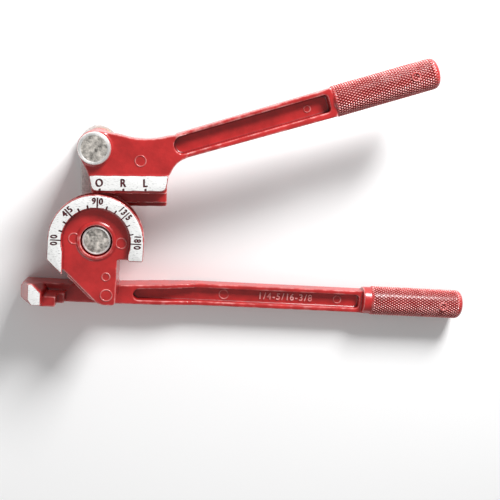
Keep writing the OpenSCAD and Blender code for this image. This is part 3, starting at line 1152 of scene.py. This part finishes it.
@dataclass
class PressedPart:
    """A flat steel piece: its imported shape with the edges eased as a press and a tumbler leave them."""

    node: str
    body: str
    finish: Finish
    ease: float = 0.2

    def build(self) -> Piece:
        """Ease the copy's edges and dress it.

        Returns:
            The finished piece, riding on its body.
        """
        mesh = frame["nodes"][self.node].data.copy()
        piece = bpy.data.objects.new(f"{self.node}_pressed", mesh)
        bpy.context.scene.collection.objects.link(piece)
        piece.data.materials.clear()
        close_up(piece)
        edit_all(piece, lambda: bpy.ops.mesh.dissolve_limited(angle_limit=math.radians(1.0)))
        finish_modifier(
            piece, "BEVEL", width=self.ease * MM, segments=3,
            limit_method="ANGLE", angle_limit=math.radians(50),
        )
        finish_modifier(piece, "TRIANGULATE")
        measure_curvature(piece, 0)
        paint(piece, self.finish)
        shade(piece, 40)
        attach(piece, self.body)
        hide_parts(self.node)
        LOG.info("%s: %d faces", piece.name, len(piece.data.polygons))
        return piece


# -------------------- the tool's sub-assemblies


def build_fittings(pin: str, body: str) -> None:
    """Ease and dress the two washers and the clip on a pin.

    Args:
        pin: The pin's own name, wheel or shoe.
        body: The body they ride on.
    """
    PressedPart(f"{pin}_thrust_washer", body, Finishes.BRONZE, ease=0.12).build()
    PressedPart(f"{pin}_rear_washer", body, Finishes.WASHER, ease=0.15).build()
    PressedPart(f"{pin}_pin_clip", body, Finishes.CLIP, ease=0.15).build()


TUBE_SIZES = "1/4-5/16-3/8"


@dataclass
class LowerHandle:
    """The casting with the wheel, the dial, the hook and the lower grip, and its pin and small parts."""

    body: str = "lower_handle"
    dial_r: float = 26.0
    ring_r: float = 18.6
    grind: float = 0.12
    grip_start: float = 164.0
    grip_r: float = 8.8
    grip_y: float = -34.0
    hook_top: float = 41.0
    hook_tip: tuple[float, float] = (-28.3, -18.0)
    arm_y: float = -34.6
    arm_top: float = 8.5
    block_top: float = 42.5
    label_x: float = 97.2
    label_pitch: float = 2.8
    label_size: float = 5.8
    label_width: float = 0.9
    label_lift: float = 0.25

    def build(self) -> None:
        """Model the handle and everything that stays with it."""
        low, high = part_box(self.body)
        dial = Level.DIAL.value
        tip_x, tip_y = self.hook_tip
        tip_face = (self.hook_top - self.grind) * MM
        ground = [
            (Vector((low.x - 0.01, -0.03, dial - self.grind * MM)), Vector((0.05, 0.04, dial + 0.01))),
            (Vector((low.x - 0.01, -0.06, tip_face)), Vector((tip_x * MM, tip_y * MM, dial + 0.02))),
        ]
        size, width = self.label_size, self.label_width
        raised = [
            Mark(text, self.label_x + self.label_pitch * i, self.arm_y, size, width=width)
            for i, text in enumerate(TUBE_SIZES)
        ]
        rings = [
            EjectorRing(-12.1, 0.8, self.block_top, 2.9),
            EjectorRing(13.6, -0.6, self.block_top, 2.9),
            EjectorRing(6.0, -19.9, self.block_top, 2.2),
            EjectorRing(6.6, -30.4, self.block_top, 3.2),
            EjectorRing(75.1, self.arm_y, self.arm_top, 2.8),
            EjectorRing(145.0, self.arm_y, self.arm_top, 2.3),
            EjectorRing(209.6, self.grip_y, 2 * self.grip_r - RING_SINK, 2.2),
        ]
        grip = KnurledGrip(
            name="lower_grip_knurl",
            body=self.body,
            where=Matrix.Translation((self.grip_start * MM, self.grip_y * MM, self.grip_r * MM)),
            length=high.x / MM - self.grip_start,
            radius=self.grip_r,
        )
        Casting(
            node="lower_handle",
            body=self.body,
            where=WHEEL_PLACE,
            ground=ground,
            recessed=DialScale(self.ring_r, self.dial_r).marks(),
            recessed_z=dial - self.grind * MM,
            rings=rings,
            raised=raised,
            raised_z=(self.arm_top + self.label_lift) * MM,
            grip=grip,
        ).build()
        grip.build()
        top = Level.WHEEL_HEAD.value / MM
        HeadedPin("wheel_pin", self.body, WHEEL_PLACE, head_r=7.9, head_t=4.0, top=top, rim=0.5).build()
        build_fittings("wheel", self.body)


@dataclass
class UpperHandle:
    """The casting with the shoe and the upper grip, and its pin and small parts."""

    body: str = "shoe_handle"
    sole: float = -23.2
    band: float = 8.5
    grind: float = 0.12
    handle_angle: float = 16.65
    handle_offset: float = 11.75
    grip_start: float = 131.0
    grip_end: float = 193.0
    grip_r: float = 8.8
    grip_z: float = 38.0

    def build(self) -> None:
        """Model the handle and everything that swings with it."""
        face = Level.SHOE.value
        ground = [
            (
                Vector((-0.02, (self.sole - 2.0) * MM, face - self.grind * MM)),
                Vector((0.045, (self.sole + self.band + 0.6) * MM, face + 0.01)),
            )
        ]
        along = Matrix.Rotation(math.radians(self.handle_angle), 4, "Z")
        rings = [
            EjectorRing(24.4, -6.6, 45.4, 2.9),
            EjectorRing(115.3, 22.6, 40.1, 1.8),
            EjectorRing(174.1, 41.0, self.grip_z + self.grip_r - RING_SINK, 2.2),
        ]
        start = Matrix.Translation((self.grip_start * MM, -self.handle_offset * MM, self.grip_z * MM))
        grip = KnurledGrip(
            name="upper_grip_knurl",
            body=self.body,
            where=SHOE_PLACE @ along @ start,
            length=self.grip_end - self.grip_start,
            radius=self.grip_r,
        )
        Casting(
            node="upper_handle",
            body=self.body,
            where=SHOE_PLACE,
            ground=ground,
            recessed=ShoeScale(self.sole).marks(),
            recessed_z=face - self.grind * MM,
            rings=rings,
            grip=grip,
        ).build()
        grip.build()
        top = Level.SHOE_HEAD.value / MM
        pin = HeadedPin("shoe_pin", self.body, SHOE_PLACE, head_r=8.85, head_t=SHOE_HEAD_T, top=top, rim=1.2)
        pin.build()
        build_fittings("shoe", self.body)


@dataclass
class Link:
    """The plate that joins the wheel's axis to the shoe's pivot."""

    body: str = "link"

    def build(self) -> None:
        """Ease and dress the plate."""
        PressedPart("link_plate", self.body, Finishes.LINK, ease=0.35).build()


# -------------------- studio


@dataclass
class Studio:
    """Floor, lights and camera."""

    camera_at: Vector = field(default_factory=lambda: Vector((0.0316, 0.0830, 0.5088)))
    looks_at: Vector = field(default_factory=lambda: Vector((0.08661, -0.00274, 0.030)))
    roll: float = 4.156
    lens: float = 61.2
    lit_spot: Vector = field(default_factory=lambda: Vector((0.07, 0.02, 0.02)))
    surround: float = 0.28
    floor_size: float = 6.0
    floor_gap: float = 0.0004

    def build(self) -> None:
        """Make the floor, the lights and the camera."""
        self._floor()
        self._light("key", at=(0.37, 0.66, 0.43), size=0.26, watts=11.8)
        self._light("fill", at=(-0.45, -0.60, 0.62), size=0.7, watts=2.4)
        self._world()
        self._camera()

    def _floor(self) -> None:
        """A wide pale floor under the tool."""
        clear_selection()
        bpy.ops.mesh.primitive_plane_add(size=self.floor_size, location=(0, 0, -self.floor_gap))
        floor = new_piece("floor")
        paint(floor, Finishes.FLOOR)

    def _light(self, name: str, at: tuple[float, float, float], size: float, watts: float) -> None:
        """A soft square light aimed at the middle of the tool.

        Args:
            name: The light's name.
            at: Where it stands, in metres.
            size: Its side, in metres.
            watts: Its power.
        """
        data = bpy.data.lights.new(name, "AREA")
        data.size = size
        data.energy = watts
        light = bpy.data.objects.new(name, data)
        light.location = at
        aim = self.lit_spot - Vector(at)
        light.rotation_euler = aim.to_track_quat("-Z", "Y").to_euler()
        bpy.context.scene.collection.objects.link(light)

    def _world(self) -> None:
        """An even pale surround."""
        world = bpy.data.worlds.new("surround")
        world.use_nodes = True
        world.node_tree.nodes["Background"].inputs["Color"].default_value = (1.0, 1.0, 1.0, 1.0)
        world.node_tree.nodes["Background"].inputs["Strength"].default_value = self.surround
        bpy.context.scene.world = world
        bpy.context.scene.view_settings.view_transform = "Standard"

    def _camera(self) -> None:
        """A camera above the tool, rolled so that the link stands upright."""
        data = bpy.data.cameras.new("camera")
        data.lens = self.lens
        camera = bpy.data.objects.new("camera", data)
        forward = (self.looks_at - self.camera_at).normalized()
        upright = Vector((0, 1, 0))
        upright = (upright - upright.dot(forward) * forward).normalized()
        upright = Matrix.Rotation(-math.radians(self.roll), 3, forward) @ upright
        right = forward.cross(upright)
        basis = Matrix((right, upright, -forward)).transposed()
        camera.matrix_world = Matrix.Translation(self.camera_at) @ basis.to_4x4()
        bpy.context.scene.collection.objects.link(camera)
        bpy.context.scene.camera = camera


def main() -> None:
    """Build the tool and its studio in order."""
    logging.basicConfig(level=logging.INFO, format="%(message)s")
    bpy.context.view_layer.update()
    Studio().build()
    Link().build()
    LowerHandle().build()
    UpperHandle().build()


if __name__ == "__main__":
    main()
